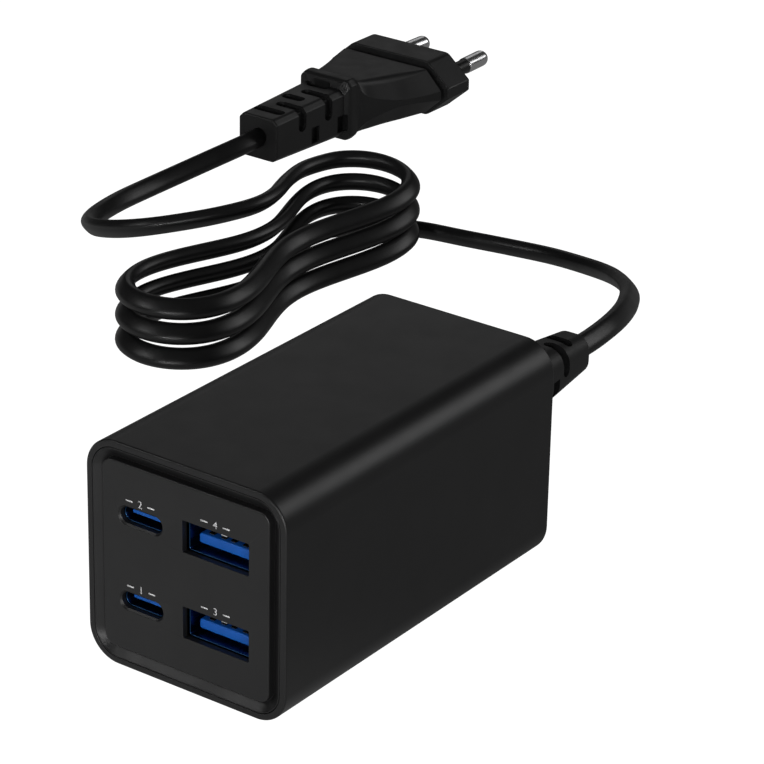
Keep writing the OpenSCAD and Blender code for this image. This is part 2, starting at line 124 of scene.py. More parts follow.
def cut(piece, cutters):
    """Takes the cutters away from the piece, then throws them away."""
    for cutter in cutters:
        change = piece.modifiers.new("cut", "BOOLEAN")
        change.operation = "DIFFERENCE"
        change.solver = "EXACT"
        change.object = cutter
        with bpy.context.temp_override(object=piece, active_object=piece):
            bpy.ops.object.modifier_apply(modifier=change.name)
    for cutter in cutters:
        bpy.data.objects.remove(cutter, do_unlink=True)


WELD = 0.5e-6
SHORTEST_EDGE = 0.2e-6


class Shape:
    """Points and faces gathered from several lofts."""

    def __init__(self):
        self.points = []
        self.faces = []

    def loft(self, rings, closed=False, start=False, end=False):
        """Joins rings of equal length; closed joins the last to the first, start and end fill the ends."""
        size = len(rings[0])
        base = len(self.points)
        for ring in rings:
            self.points.extend(ring)
        spans = len(rings) if closed else len(rings) - 1
        for i in range(spans):
            j = (i + 1) % len(rings)
            for k in range(size):
                n = (k + 1) % size
                self.faces.append((
                    base + i * size + k, base + i * size + n,
                    base + j * size + n, base + j * size + k,
                ))
        if start:
            self.faces.append(tuple(base + k for k in range(size)))
        if end:
            last = base + (len(rings) - 1) * size
            self.faces.append(tuple(last + k for k in range(size)))

    def solid(self, rings):
        self.loft(rings, start=True, end=True)

    def plate(self, outline, holes=()):
        """A flat face inside an outline, with holes."""
        loops = [outline, *holes]
        base = len(self.points)
        for loop in loops:
            self.points.extend(loop)
        for corners in tessellate_polygon(loops):
            self.faces.append(tuple(base + c for c in corners))

    def object(self, name):
        """A new mesh object with welded points and outward normals."""
        mesh = bpy.data.meshes.new(name)
        mesh.from_pydata([tuple(p) for p in self.points], [], self.faces)
        work = bmesh.new()
        work.from_mesh(mesh)
        bmesh.ops.remove_doubles(work, verts=work.verts, dist=WELD)
        bmesh.ops.dissolve_degenerate(work, edges=work.edges, dist=SHORTEST_EDGE)
        bmesh.ops.recalc_face_normals(work, faces=work.faces)
        work.to_mesh(mesh)
        work.free()
        return add_to_scene(name, mesh)

    def piece(self, name, slot, *replaces, **options):
        return finish_piece(self.object(name), slot, *replaces, **options)


def arc(centre, radius, first, last, steps):
    """Points on an arc in a flat plane, angles in degrees."""
    found = []
    for k in range(steps + 1):
        a = math.radians(first + (last - first) * k / steps)
        found.append((centre[0] + radius * math.cos(a), centre[1] + radius * math.sin(a)))
    return found


def fillet(radius, first, last, steps):
    """An edge's rounding, as distances in from the two faces that meet there."""
    return arc((radius, radius), radius, first, last, steps)


def rounded(half_w, half_h, radius, steps=10):
    """A rounded rectangle as flat points, counterclockwise from the right side's top corner."""
    radius = min(radius, half_w - 1e-7, half_h - 1e-7)
    found = []
    corners = ((1, 1, 0), (-1, 1, 90), (-1, -1, 180), (1, -1, 270))
    for side, level, first in corners:
        centre = (side * (half_w - radius), level * (half_h - radius))
        found.extend(arc(centre, radius, first, first + 90, steps))
    return found


def stadium(half_w, half_h, steps=14):
    return rounded(half_w, half_h, half_h, steps)


def upright(outline, y, centre):
    """Stands a flat outline up at one place along Y; centre gives its X and Z."""
    return [Vector((centre[0] + u, y, centre[1] + w)) for u, w in outline]


def spline(points, spacing):
    """A smooth line through the points, with about the asked spacing."""
    ends = [points[0] * 2 - points[1]] + list(points) + [points[-1] * 2 - points[-2]]
    found = []
    for i in range(1, len(ends) - 2):
        before, here, there, after = ends[i - 1:i + 3]
        steps = max(1, round((there - here).length / spacing))
        for k in range(steps):
            t = k / steps
            found.append(0.5 * (
                2 * here + (there - before) * t
                + (2 * before - 5 * here + 4 * there - after) * t ** 2
                + (3 * here - before - 3 * there + after) * t ** 3
            ))
    found.append(points[-1].copy())
    return found


def relax(points, times):
    """Evens out the bends of a line, its ends held."""
    line = [p.copy() for p in points]
    for _ in range(times):
        calm = [(line[i - 1] + line[i] * 2 + line[i + 1]) / 4 for i in range(1, len(line) - 1)]
        line[1:-1] = calm
    return line


def ease(t):
    t = min(1.0, max(0.0, t))
    return t * t * (3 - 2 * t)


# ---------------- materials

MATERIALS = {}
# Most of a noise's values lie in this span
NOISE_SPAN = (0.3, 0.7)


class Paint:
    """A material being built, kept by its slot's name; its nodes are reached by short names."""

    def __init__(self, name):
        self.material = MATERIALS[name] = bpy.data.materials.new(name)
        self.material.use_nodes = True
        self.tree = self.material.node_tree
        self.surface = self.tree.nodes["Principled BSDF"]
        self.place = self.add("ShaderNodeTexCoord").outputs["Object"]
        self.normal = None

    def add(self, kind, **values):
        node = self.tree.nodes.new(kind)
        for key, value in values.items():
            node.inputs[key].default_value = value
        return node

    def link(self, source, target):
        self.tree.links.new(source, target)

    def feed(self, source, socket):
        self.link(source, self.surface.inputs[socket])

    def noise(self, size, detail=3.0, rough=0.5, stretch=None):
        """Cloudy noise with features of about this size in metres."""
        node = self.add("ShaderNodeTexNoise", Scale=1 / size, Detail=detail, Roughness=rough)
        place = self.place
        if stretch:
            mapping = self.add("ShaderNodeMapping", Scale=stretch)
            self.link(place, mapping.inputs["Vector"])
            place = mapping.outputs["Vector"]
        self.link(place, node.inputs["Vector"])
        return node.outputs["Fac"]

    def ramp(self, source, stops):
        """Colours by position along the source value."""
        node = self.add("ShaderNodeValToRGB")
        elements = node.color_ramp.elements
        while len(elements) < len(stops):
            elements.new(0.5)
        for element, (position, colour) in zip(elements, stops):
            element.position = position
            element.color = (*colour, 1)
        self.link(source, node.inputs["Fac"])
        return node.outputs["Color"]

    def bands(self, way, scale, distortion=0.0):
        """Evenly spaced stripes across one axis."""
        node = self.add("ShaderNodeTexWave", Scale=scale, Distortion=distortion)
        node.wave_type = "BANDS"
        node.bands_direction = way
        self.link(self.place, node.inputs["Vector"])
        return node.outputs["Fac"]

    def spread(self, source, low, high, span=NOISE_SPAN, easing="LINEAR"):
        """Maps the source's span to low and high."""
        node = self.add("ShaderNodeMapRange")
        node.interpolation_type = easing
        for key, value in zip(("From Min", "From Max", "To Min", "To Max"), (*span, low, high)):
            node.inputs[key].default_value = value
        self.link(source, node.inputs["Value"])
        return node.outputs["Result"]

    def colour(self, colour, vary=0.12, size=6 * MM):
        """A base colour that drifts a little over the surface."""
        low = tuple(c * (1 - vary) for c in colour)
        high = tuple(min(1.0, c * (1 + vary)) for c in colour)
        self.feed(self.ramp(self.noise(size), list(zip(NOISE_SPAN, (low, high)))), "Base Color")

    def rough(self, low, high, size=4 * MM):
        self.feed(self.spread(self.noise(size), low, high), "Roughness")

    def bump(self, height, strength, distance):
        node = self.add("ShaderNodeBump", Strength=strength, Distance=distance)
        self.link(height, node.inputs["Height"])
        if self.normal:
            self.link(self.normal, node.inputs["Normal"])
        self.normal = node.outputs["Normal"]
        self.feed(self.normal, "Normal")

    def set(self, **values):
        for key, value in values.items():
            self.surface.inputs[key.replace("_", " ")].default_value = value


def moulded(name, colour, low, high, grain, depth, gloss, vary=0.1):
    """A moulded plastic or rubber with a fine spark-eroded grain and faint handling marks."""
    paint = Paint(name)
    paint.colour(colour, vary, 9 * MM)
    paint.rough(low, high, 5 * MM)
    paint.bump(paint.noise(14 * MM, 2), 0.03, 0.05 * MM)
    paint.bump(paint.noise(grain, 4, 0.6), depth, 0.03 * MM)
    paint.set(Specular_IOR_Level=gloss)


def metal(name, colour, low, high, stretch=(1, 1, 1), vary=0.08):
    """A metal with fine drawing marks along one way."""
    paint = Paint(name)
    paint.colour(colour, vary, 3 * MM)
    marks = paint.noise(0.25 * MM, 3, 0.6, stretch)
    paint.feed(paint.spread(marks, low, high), "Roughness")
    paint.bump(marks, 0.12, 0.01 * MM)
    paint.set(Metallic=1.0)


def coated(name, colour, low, high, vary=0.1, coat=0.4):
    """A glossy moulded or dipped surface under a thin clear skin."""
    paint = Paint(name)
    paint.colour(colour, vary, 4 * MM)
    paint.rough(low, high, 3 * MM)
    paint.bump(paint.noise(2.5 * MM, 2), 0.1, 0.04 * MM)
    paint.set(Coat_Weight=coat, Coat_Roughness=0.12)


def wound(name, colour, dark, pitch):
    """Turns of wire or tape lying side by side, with painted shade in the grooves between the turns."""
    paint = Paint(name)
    turns = paint.bands("Z", 1 / pitch / 6.28, 0.4)
    # Painted shade: the colour turns dark in the grooves, where the bump dips
    paint.feed(paint.ramp(turns, [(0.1, dark), (0.6, colour)]), "Base Color")
    paint.rough(0.25, 0.4)
    paint.bump(turns, 0.6, 0.1 * MM)


def circuit_board(name):
    """Solder mask with raised tracks that run in straight lines."""
    paint = Paint(name)
    bricks = paint.add("ShaderNodeTexBrick", Scale=420.0, Color1=(0.012, 0.09, 0.035, 1),
                       Color2=(0.02, 0.12, 0.05, 1), Mortar=(0.04, 0.2, 0.09, 1))
    bricks.inputs["Mortar Size"].default_value = 0.03
    paint.link(paint.place, bricks.inputs["Vector"])
    paint.feed(bricks.outputs["Color"], "Base Color")
    paint.rough(0.28, 0.42)
    paint.bump(bricks.outputs["Fac"], 0.3, 0.03 * MM)


def printed_sleeve(name, colour, band):
    """A capacitor's shrink sleeve with a pale stripe down one side."""
    paint = Paint(name)
    paint.feed(paint.ramp(paint.bands("Y", 22.0), [(0.9, colour), (0.96, band)]), "Base Color")
    paint.rough(0.2, 0.34)
    paint.bump(paint.noise(1.2 * MM, 2), 0.12, 0.03 * MM)


BLACK = (0.0105, 0.0105, 0.0108)

# One material for each slot; the two numbers after a single colour are its range of roughness
moulded("housing_plastic", BLACK, 0.385, 0.415, 0.16 * MM, 0.10, 0.5)
moulded("cover_plastic", (0.0125, 0.0125, 0.0128), 0.38, 0.46, 0.16 * MM, 0.12, 0.5)
coated("port_blue", (0.004, 0.115, 0.52), 0.42, 0.5, 0.1, 0.05)
# The shells' dark blue colour is painted shade: it keeps the walls inside the sockets dark and blue
metal("shell_steel", (0.02, 0.06, 0.14), 0.24, 0.38, (1, 0.08, 1))
metal("gold_contact", (0.2, 0.15, 0.07), 0.2, 0.32, (1, 0.1, 1))
metal("latch_steel", (0.95, 0.95, 0.96), 0.4, 0.55, (1, 0.1, 1))
circuit_board("board_green")
metal("screw_steel", (0.56, 0.56, 0.58), 0.28, 0.4)
moulded("ic_black", (0.02, 0.02, 0.022), 0.5, 0.62, 0.08 * MM, 0.2, 0.4)
moulded("inductor_grey", (0.1, 0.1, 0.105), 0.6, 0.75, 0.12 * MM, 0.35, 0.3, 0.2)
moulded("ferrite", (0.05, 0.05, 0.055), 0.42, 0.6, 0.2 * MM, 0.3, 0.5, 0.2)
moulded("bobbin_plastic", (0.025, 0.025, 0.027), 0.4, 0.5, 0.2 * MM, 0.15, 0.5)
wound("winding_tape", (0.75, 0.56, 0.08), (0.5, 0.34, 0.04), 3 * MM)
wound("copper_wire", (0.55, 0.2, 0.08), (0.2, 0.06, 0.02), 0.6 * MM)
coated("choke_coating", (0.06, 0.18, 0.11), 0.25, 0.4, 0.15)
printed_sleeve("capacitor_sleeve", (0.02, 0.035, 0.1), (0.5, 0.52, 0.56))
metal("capacitor_can", (0.7, 0.71, 0.73), 0.25, 0.38, (1, 1, 0.1))
coated("film_box", (0.7, 0.55, 0.06), 0.35, 0.45)
coated("ceramic_blue", (0.03, 0.15, 0.42), 0.25, 0.4, 0.15)
moulded("opto_white", (0.8, 0.8, 0.77), 0.45, 0.55, 0.1 * MM, 0.15, 0.4, 0.04)
moulded("thermal_gel", (0.48, 0.3, 0.38), 0.6, 0.75, 0.4 * MM, 0.4, 0.3)
metal("copper_sheet", (0.7, 0.33, 0.18), 0.25, 0.42, (0.1, 1, 1), 0.16)
coated("insulating_film", (0.72, 0.68, 0.45), 0.3, 0.4, 0.05)
coated("wire_insulation", (0.06, 0.1, 0.3), 0.3, 0.4, 0.08)
moulded("boot_rubber", BLACK, 0.44, 0.54, 0.14 * MM, 0.14, 0.5)
moulded("cord_sheath", (0.0085, 0.0085, 0.0088), 0.33, 0.4, 0.2 * MM, 0.12, 0.5)
moulded("plug_rubber", BLACK, 0.4, 0.5, 0.14 * MM, 0.14, 0.5)
moulded("plug_insert_plastic", (0.012, 0.012, 0.0125), 0.34, 0.44, 0.2 * MM, 0.1, 0.5)
metal("pin_nickel", (0.93, 0.93, 0.94), 0.16, 0.26, (1, 0.1, 1), 0.03)
moulded("pin_sleeve_plastic", (0.009, 0.009, 0.0095), 0.32, 0.42, 0.2 * MM, 0.08, 0.5)
moulded("label_ink", (0.82, 0.82, 0.83), 0.5, 0.6, 0.1 * MM, 0.05, 0.3, 0.06)

# ---------------- lead

CORD_WIDTH = 4.5 * MM
CORD_THICK = 3.2 * MM
CORD_LEAN = math.radians(42)
CORD_SPACING = 1.2 * MM
CORD_SIDES = 28
CORD_SQUARENESS = 2.7
CORD_RELAXING = 3
CORD_LOWEST = 0.01 * MM

LEAD_ROUTE = [Vector(p) * MM for p in (
    (0, 75, 21), (0, 84, 21), (-1.1, 93, 20.8), (-4.1, 102.1, 19.3), (-8.3, 111.2, 17.2),
    (-13.9, 121, 14.7), (-21.3, 130.7, 11.5), (-30.2, 140, 8), (-40.5, 147.3, 4.8), (-52, 151.4, 2.8),
    (-63, 151.3, 2.1), (-74, 149.3, 2.05), (-83.5, 147.6, 2.05), (-91, 144.4, 2.05), (-97, 139.4, 2.05),
    (-100.4, 133, 2.05),
)]
TAIL_ROUTE = [Vector(p) * MM for p in (
    (-103.1, 138.3, 16.45), (-104.6, 130.5, 16.45), (-103, 122.6, 16.45), (-100.4, 115.2, 16.4),
    (-99.8, 108, 16.3), (-102.9, 99.9, 15.9), (-108.2, 93.8, 14.9), (-115.3, 89.6, 13.2),
    (-123.8, 89.6, 10.6), (-132.6, 92.9, 7.8), (-139.3, 100, 5.2), (-143.9, 108.6, 3.4),
    (-146.4, 118.3, 2.5), (-146.6, 128.2, 2.5), (-145, 137.4, 3.5), (-142.6, 146.2, 5),
    (-140, 154.5, 6.6), (-139.5, 162.5, 7.1),
)]

# The hank: peanut-shaped turns, each lying on the last and a little further over
HANK_CENTRE = Vector((-89.5, 100.2, 2.05)) * MM
HANK_HALF = (16.3 * MM, 39.1 * MM)
HANK_WAIST = (12 * MM, 2.5 * MM)
HANK_SKEW = 0.9 * MM
HANK_STEP = Vector((-0.9, 1.2, 4.8)) * MM
HANK_FIRST = 2 * math.pi - 0.85
HANK_LAST = -4 * math.pi - 0.5
HANK_RISE_AT = 0.8
HANK_RISE_SPAN = 1.0
HANK_POINTS_PER_TURN = 48


def hank_point(a):
    """A place along the hank; a falls by a full circle with each turn, which ends one level higher."""
    turns = (HANK_RISE_AT - a) / (2 * math.pi)
    level = math.floor(turns + 0.5)
    past = (turns - level) * 2 * math.pi
    height = level + ease((past + HANK_RISE_SPAN) / (2 * HANK_RISE_SPAN))
    across = math.sin(a) * (
        HANK_HALF[0] + HANK_WAIST[0] * math.cos(2 * a) + HANK_SKEW * math.cos(3 * a)
    )
    along = HANK_HALF[1] * math.cos(a) + HANK_WAIST[1] * math.cos(3 * a)
    return HANK_CENTRE + Vector((across, along, 0)) + HANK_STEP * height


def hank_line():
    """Places along the hank from its first turn to its last."""
    count = round((HANK_FIRST - HANK_LAST) / (2 * math.pi) * HANK_POINTS_PER_TURN)
    return [hank_point(HANK_FIRST + (HANK_LAST - HANK_FIRST) * k / count) for k in range(count + 1)]


def cord_line():
    """The whole lead's centreline, from inside the boot to inside the plug."""
    points = LEAD_ROUTE + hank_line() + TAIL_ROUTE[1:]
    return relax(spline(points, CORD_SPACING), CORD_RELAXING)


def cord_ring(centre, ahead):
    """The flat lead's section: a rounded oval whose broad side leans over."""
    left = UP.cross(ahead).normalized()
    up = ahead.cross(left)
    broad = up * math.cos(CORD_LEAN) + left * math.sin(CORD_LEAN)
    narrow = left * math.cos(CORD_LEAN) - up * math.sin(CORD_LEAN)
    ring = []
    for k in range(CORD_SIDES):
        a = 2 * math.pi * k / CORD_SIDES
        u, w = (math.copysign(abs(part) ** (2 / CORD_SQUARENESS), part)
                for part in (math.cos(a), math.sin(a)))
        place = centre + broad * u * CORD_WIDTH / 2 + narrow * w * CORD_THICK / 2
        place.z = max(place.z, CORD_LOWEST)
        ring.append(place)
    return ring


def way_at(line, i):
    return (line[min(i + 1, len(line) - 1)] - line[max(i - 1, 0)]).normalized()


def make_cord():
    line = cord_line()
    shape = Shape()
    shape.solid([cord_ring(p, way_at(line, i)) for i, p in enumerate(line)])
    return shape.piece("flat_lead", "cord_sheath", "lead_start", "lead_hank", "lead_tail", sharp=50), line


cord, cord_path = make_cord()

# ---------------- brick

SLEEVE_CORNER = 6.2 * MM
SLEEVE_WALL = 2 * MM
SLEEVE_EDGE = 0.4 * MM
RIM = 1.25 * MM
SEAT_DEPTH = 3 * MM
FINE_CORNER = 16
RAIL_AT = (-14 * MM, 14 * MM)
RAIL_ENDS = (-19 * MM, 31 * MM)
RAIL_HALF = (1 * MM, 1.6 * MM)
RAIL_RISE = 1.4 * MM


def sleeve_ring(inset, y):
    corner = max(SLEEVE_CORNER - inset, 0.5 * MM)
    outline = rounded(BRICK_HALF - inset, BRICK_HALF - inset, corner, FINE_CORNER)
    return upright(outline, y, (0, BRICK_MID))


def sleeve_end(side):
    """The profile around one open end, from the outside to the seat, as insets and places along Y."""
    face = FRONT_Y if side < 0 else REAR_Y
    inward = -side
    inner = 0.12 * MM
    profile = [(0, 2 * MM), *fillet(SLEEVE_EDGE, 180, 270, 6), (RIM - inner - 0.1 * MM, 0)]
    profile += arc((RIM - inner, inner), inner, 270, 360, 3)
    profile += [(RIM, SEAT_DEPTH), (SLEEVE_WALL, SEAT_DEPTH)]
    return [(inset, face + inward * depth) for inset, depth in profile]


def make_sleeve():
    profile = list(reversed(sleeve_end(-1))) + sleeve_end(1)
    shape = Shape()
    shape.loft([sleeve_ring(inset, y) for inset, y in profile], closed=True)
    for x in RAIL_AT:
        centre = (x, BRICK_LOW.z + SLEEVE_WALL + RAIL_RISE)
        rail = [upright(rounded(*RAIL_HALF, 0.3 * MM, 4), y, centre) for y in RAIL_ENDS]
        shape.solid(rail)
    shape.piece("sleeve_shell", "housing_plastic", "housing_sleeve")


PANEL_HALF = 17.5 * MM
PANEL_CORNER = 2 * MM
PANEL_EDGE = 0.3 * MM
GROOVE_DEPTH = 1.5 * MM
SKIN = 1.2 * MM
COVER_HALF = BRICK_HALF - RIM - 0.06 * MM
COVER_CORNER = SLEEVE_CORNER - RIM
CUP_HALF = 16.2 * MM
BOSS_AT = (15.3 * MM, 13.5 * MM)
BOSS_RADIUS = 1.6 * MM
BOSS_BORE = 1 * MM
BOSS_BORE_DEPTH = 6.8 * MM


def cover_profile():
    """Half-width, depth behind the face and corner radius, from the cover's back edge to its panel."""
    back = [(CUP_HALF, SKIN, 1.3 * MM), (CUP_HALF, SEAT_DEPTH, 1.3 * MM),
            (COVER_HALF, SEAT_DEPTH, COVER_CORNER), (COVER_HALF, 0.16 * MM, COVER_CORNER),
            (COVER_HALF - 0.05 * MM, 0.06 * MM, COVER_CORNER),
            (COVER_HALF - 0.14 * MM, 0.03 * MM, COVER_CORNER)]
    slope_steps = 6
    start, stop = COVER_HALF - 0.2 * MM, PANEL_HALF + 0.12 * MM
    slope = []
    for k in range(slope_steps + 1):
        t = k / slope_steps
        half = start + (stop - start) * t
        depth = 0.05 * MM + (GROOVE_DEPTH - 0.07 * MM) * t
        corner = COVER_CORNER - 0.2 * MM + (PANEL_CORNER + 0.3 * MM - COVER_CORNER) * t
        slope.append((half, depth, corner))
    bottom = [(PANEL_HALF + 0.06 * MM, GROOVE_DEPTH, PANEL_CORNER + 0.06 * MM),
              (PANEL_HALF, GROOVE_DEPTH, PANEL_CORNER)]
    wall = [(PANEL_HALF, 0.9 * MM, PANEL_CORNER)]
    for inset, depth in fillet(PANEL_EDGE, 180, 270, 5):
        wall.append((PANEL_HALF - inset, depth, PANEL_CORNER - inset))
    return back + slope + bottom + wall


def window_wall(outline_at, face, inward, centre):
    """Rings of a window's wall: a small rounded mouth, then straight through the skin."""
    lip = 0.14 * MM
    sizes = [*fillet(lip, 270, 180, 4), (0, SKIN)]
    return [upright(outline_at(out), face + inward * depth, centre) for out, depth in sizes]


def a_window(out):
    return rounded(6.9 * MM + out, 2.925 * MM + out, 0.2 * MM + out, 5)


def boot_window(out):
    return rounded(7.25 * MM + out, 7.25 * MM + out, 5.15 * MM + out, 10)


def c_window_rings(face, inward, centre):
    """The small port's window: a wide chamfered mouth that narrows to the slot."""
    mouth_half, mouth_depth, lip = (4.75 * MM, 1.825 * MM), 0.35 * MM, 0.1 * MM
    slot_half = (4.45 * MM, 1.525 * MM)
    sizes = [(mouth_half[0] + out, mouth_half[1] + out, depth)
             for out, depth in fillet(lip, 270, 200, 4)]
    sizes += [(*slot_half, mouth_depth), (*slot_half, SKIN)]
    return [upright(stadium(w, h), face + inward * depth, centre) for w, h, depth in sizes]


def add_cover(shape, face, inward, windows):
    rings = []
    for half, depth, corner in cover_profile():
        outline = rounded(half, half, corner, FINE_CORNER)
        rings.append(upright(outline, face + inward * depth, (0, BRICK_MID)))
    shape.loft(rings)
    for wall in windows:
        shape.loft(wall)
    shape.plate(rings[-1], [wall[0] for wall in windows])
    shape.plate(rings[0], [wall[-1] for wall in windows])


def add_boss(shape, x, z, far):
    """A screw boss behind the panel."""
    rings = []
    for radius, y in ((BOSS_RADIUS, FRONT_Y + SKIN - 0.1 * MM), (BOSS_RADIUS, far),
                      (BOSS_BORE, far), (BOSS_BORE, far - BOSS_BORE_DEPTH)):
        rings.append(upright(arc((0, 0), radius, 0, 345, 23), y, (x, z)))
    shape.solid(rings)


def make_front_cover():
    shape = Shape()
    windows = []
    for row in ("upper", "lower"):
        wide = middle(f"usb_a_shell_{row}")
        small = middle(f"usb_c_shell_{row}")
        windows.append(window_wall(a_window, FRONT_Y, 1, (wide.x, wide.z)))
        windows.append(c_window_rings(FRONT_Y, 1, (small.x, small.z)))
    add_cover(shape, FRONT_Y, 1, windows)
    board_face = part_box("port_board")[0][1]
    for side in (-1, 1):
        for level in (-1, 1):
            add_boss(shape, side * BOSS_AT[0], BRICK_MID + level * BOSS_AT[1], board_face)
    shape.piece("front_panel", "cover_plastic", "front_cover")


def make_rear_cover():
    shape = Shape()
    add_cover(shape, REAR_Y, -1, [window_wall(boot_window, REAR_Y, -1, (0, BRICK_MID))])
    shape.piece("rear_panel", "cover_plastic", "rear_cover")


make_sleeve()
make_front_cover()
make_rear_cover()

# ---------------- port numbers

LABEL_HEIGHT = 1.32 * MM
LABEL_WIDTH = 6.1 * MM
LABEL_DASH = 1.5 * MM
LABEL_STROKE = 0.27 * MM
LABEL_PROUD = 0.01 * MM
LABELS = {
    # each port's number, and its height over the port's middle
    "usb_c_shell_lower": ("1", 2.28 * MM),
    "usb_c_shell_upper": ("2", 2.28 * MM),
    "usb_a_shell_lower": ("3", 3.57 * MM),
    "usb_a_shell_upper": ("4", 3.57 * MM),
}


def digit_mesh(text):
    """A digit's outline, filled, one unit of cap height tall and centred sideways on the origin."""
    curve = bpy.data.curves.new("digit", "FONT")
    curve.body = text
    curve.size = 1
    curve.align_x = "CENTER"
    curve.resolution_u = 6
    made = add_to_scene("digit", curve)
    mesh = bpy.data.meshes.new_from_object(made.evaluated_get(bpy.context.evaluated_depsgraph_get()))
    tops = [v.co.y for v in mesh.vertices]
    height = max(tops) - min(tops)
    points = [(v.co.x / height, (v.co.y - min(tops)) / height) for v in mesh.vertices]
    faces = [tuple(f.vertices) for f in mesh.polygons]
    bpy.data.objects.remove(made, do_unlink=True)
    bpy.data.meshes.remove(mesh)
    bpy.data.curves.remove(curve)
    return points, faces


def make_labels():
    """Thin raised ink: each port's number between two dashes."""
    shape = Shape()
    y = FRONT_Y - LABEL_PROUD
    for node, (text, rise) in LABELS.items():
        port = middle(node)
        base_z = port.z + rise
        points, faces = digit_mesh(text)
        base = len(shape.points)
        for u, w in points:
            shape.points.append(Vector((port.x + u * LABEL_HEIGHT, y, base_z + w * LABEL_HEIGHT)))
        shape.faces.extend(tuple(base + i for i in face) for face in faces)
        for side in (-1, 1):
            centre = (port.x + side * (LABEL_WIDTH - LABEL_DASH) / 2, base_z + LABEL_HEIGHT / 2)
            shape.plate(upright(stadium(LABEL_DASH / 2, LABEL_STROKE / 2, 6), y, centre))
    piece = shape.object("port_numbers")
    thick = piece.modifiers.new("thick", "SOLIDIFY")
    thick.thickness = LABEL_PROUD * 1.5
    thick.offset = 0
    finish_piece(piece, "cover_plastic", material="label_ink")


make_labels()

# ---------------- ports

SHEET = 0.3 * MM
SHELL_FRONT, SHELL_BACK = (corner.y for corner in box_of("usb_a_shell_upper"))
A_INNER = (6.25 * MM, 2.56 * MM)
C_INNER = (4.17 * MM, 1.28 * MM)
PORT_SIZES = {"a": "wide", "c": "small"}
SIDEWAYS = Vector((1, 0, 0))
# Contact springs: root from the port's middle, way across, way inwards, half-width
A_SPRINGS = [((x, level * A_INNER[1]), SIDEWAYS, UP * -level, 1 * MM)
             for x in (-3 * MM, 3 * MM) for level in (-1, 1)]
A_SPRINGS += [((side * A_INNER[0], 0.9 * MM), UP, SIDEWAYS * -side, 0.8 * MM) for side in (-1, 1)]
C_SPRINGS = [((0, level * C_INNER[1]), SIDEWAYS, UP * -level * 0.5, 1.2 * MM) for level in (-1, 1)]
# A spring's bow: distance behind the shell's front and height off its wall, in millimetres
SPRING_BOW = ((9.5, 0.02), (8.0, 0.12), (6.0, 0.34), (4.6, 0.5), (3.9, 0.52), (3.2, 0.4), (2.6, 0.2))
SPRING_THICK = 0.16 * MM
LATCH_HALF = (0.62 * MM, 0.34 * MM)
LATCH_AT = (0.8 * MM, A_INNER[1] - 0.32 * MM)


def add_shell(shape, centre, outline_at):
    """A drawn metal tube with a rolled front edge."""
    profile = [(0, SHELL_BACK), (0, SHELL_FRONT + 1 * MM)]
    profile += [(out, SHELL_FRONT + depth) for out, depth in fillet(SHEET / 2, 180, 360, 8)]
    profile += [(SHEET, SHELL_FRONT + 1 * MM), (SHEET, SHELL_BACK)]
    shape.loft([upright(outline_at(out), y, centre) for out, y in profile], closed=True)


def add_spring(shape, root, across, inward, half_width):
    """A contact spring cut from the shell: it bows inwards and its tip turns back."""
    rings = []
    for back, rise in SPRING_BOW:
        low = root + inward * rise * MM
        low.y = SHELL_FRONT + back * MM
        high = low - inward * SPRING_THICK
        wide = across * half_width
        rings.append([low - wide, low + wide, high + wide, high - wide])
    shape.solid(rings)


def a_inside(out):
    return rounded(A_INNER[0] + out, A_INNER[1] + out, 0.3 * MM + out, 5)


def c_inside(out):
    return stadium(C_INNER[0] + out, C_INNER[1] + out)


def make_shell(kind, row, inside, springs):
    shape = Shape()
    node = f"usb_{kind}_shell_{row}"
    port = middle(node)
    add_shell(shape, (port.x, port.z), inside)
    for (x, z), across, inward, half_width in springs:
        add_spring(shape, Vector((port.x + x, 0, port.z + z)), across, inward, half_width)
    shape.piece(f"{PORT_SIZES[kind]}_port_shell_{row}", "shell_steel", node)


def tongue_rings(half_w, half_h, corner, edge, tip, back, centre):
    """A tongue with a rounded leading edge."""
    rings = []
    for inset, depth in fillet(edge, 270, 180, 5):
        outline = rounded(half_w - inset, half_h - inset, max(corner - inset, 0.05 * MM), 5)
        rings.append(upright(outline, tip + depth, centre))
    rings.append(upright(rounded(half_w, half_h, corner, 5), back, centre))
    return rings


def make_latch(row):
    """The bright catch at the top of a wide port's mouth."""
    port = middle(f"usb_a_shell_{row}")
    centre = (port.x + LATCH_AT[0], port.z + LATCH_AT[1])
    shape = Shape()
    shape.solid(tongue_rings(*LATCH_HALF, 0.12 * MM, 0.1 * MM, SHELL_FRONT + 0.05 * MM,
                             SHELL_FRONT + 2 * MM, centre))
    shape.piece(f"wide_port_latch_{row}", "shell_steel", material="latch_steel")


A_TONGUE = (5.55 * MM, 0.92 * MM)
A_TONGUE_LOW = 0.76 * MM
C_TONGUE = (3.35 * MM, 0.35 * MM)
PORT_BASE = 3 * MM


def make_tongue(kind, row):
    shape = Shape()
    node = f"usb_{kind}_tongue_{row}"
    low, high = box_of(node)
    x, z = (low.x + high.x) / 2, (low.z + high.z) / 2
    base_y = high.y - PORT_BASE
    if kind == "a":
        centre = (x, low.z + A_TONGUE_LOW + A_TONGUE[1])
        shape.solid(tongue_rings(*A_TONGUE, 0.45 * MM, 0.3 * MM, low.y, base_y, centre))
        base = rounded((high.x - low.x) / 2, (high.z - low.z) / 2, 0.3 * MM, 5)
    else:
        shape.solid(tongue_rings(*C_TONGUE, 0.3 * MM, 0.14 * MM, low.y, base_y, (x, z)))
        base = stadium((high.x - low.x) / 2, (high.z - low.z) / 2)
    shape.solid([upright(base, y, (x, z)) for y in (base_y, high.y)])
    shape.piece(f"{PORT_SIZES[kind]}_port_tongue_{row}", "port_blue", node)


for port_row in ("upper", "lower"):
    make_shell("a", port_row, a_inside, A_SPRINGS)
    make_latch(port_row)
    make_shell("c", port_row, c_inside, C_SPRINGS)
    make_tongue("a", port_row)
    make_tongue("c", port_row)

# ---------------- strain reliefs

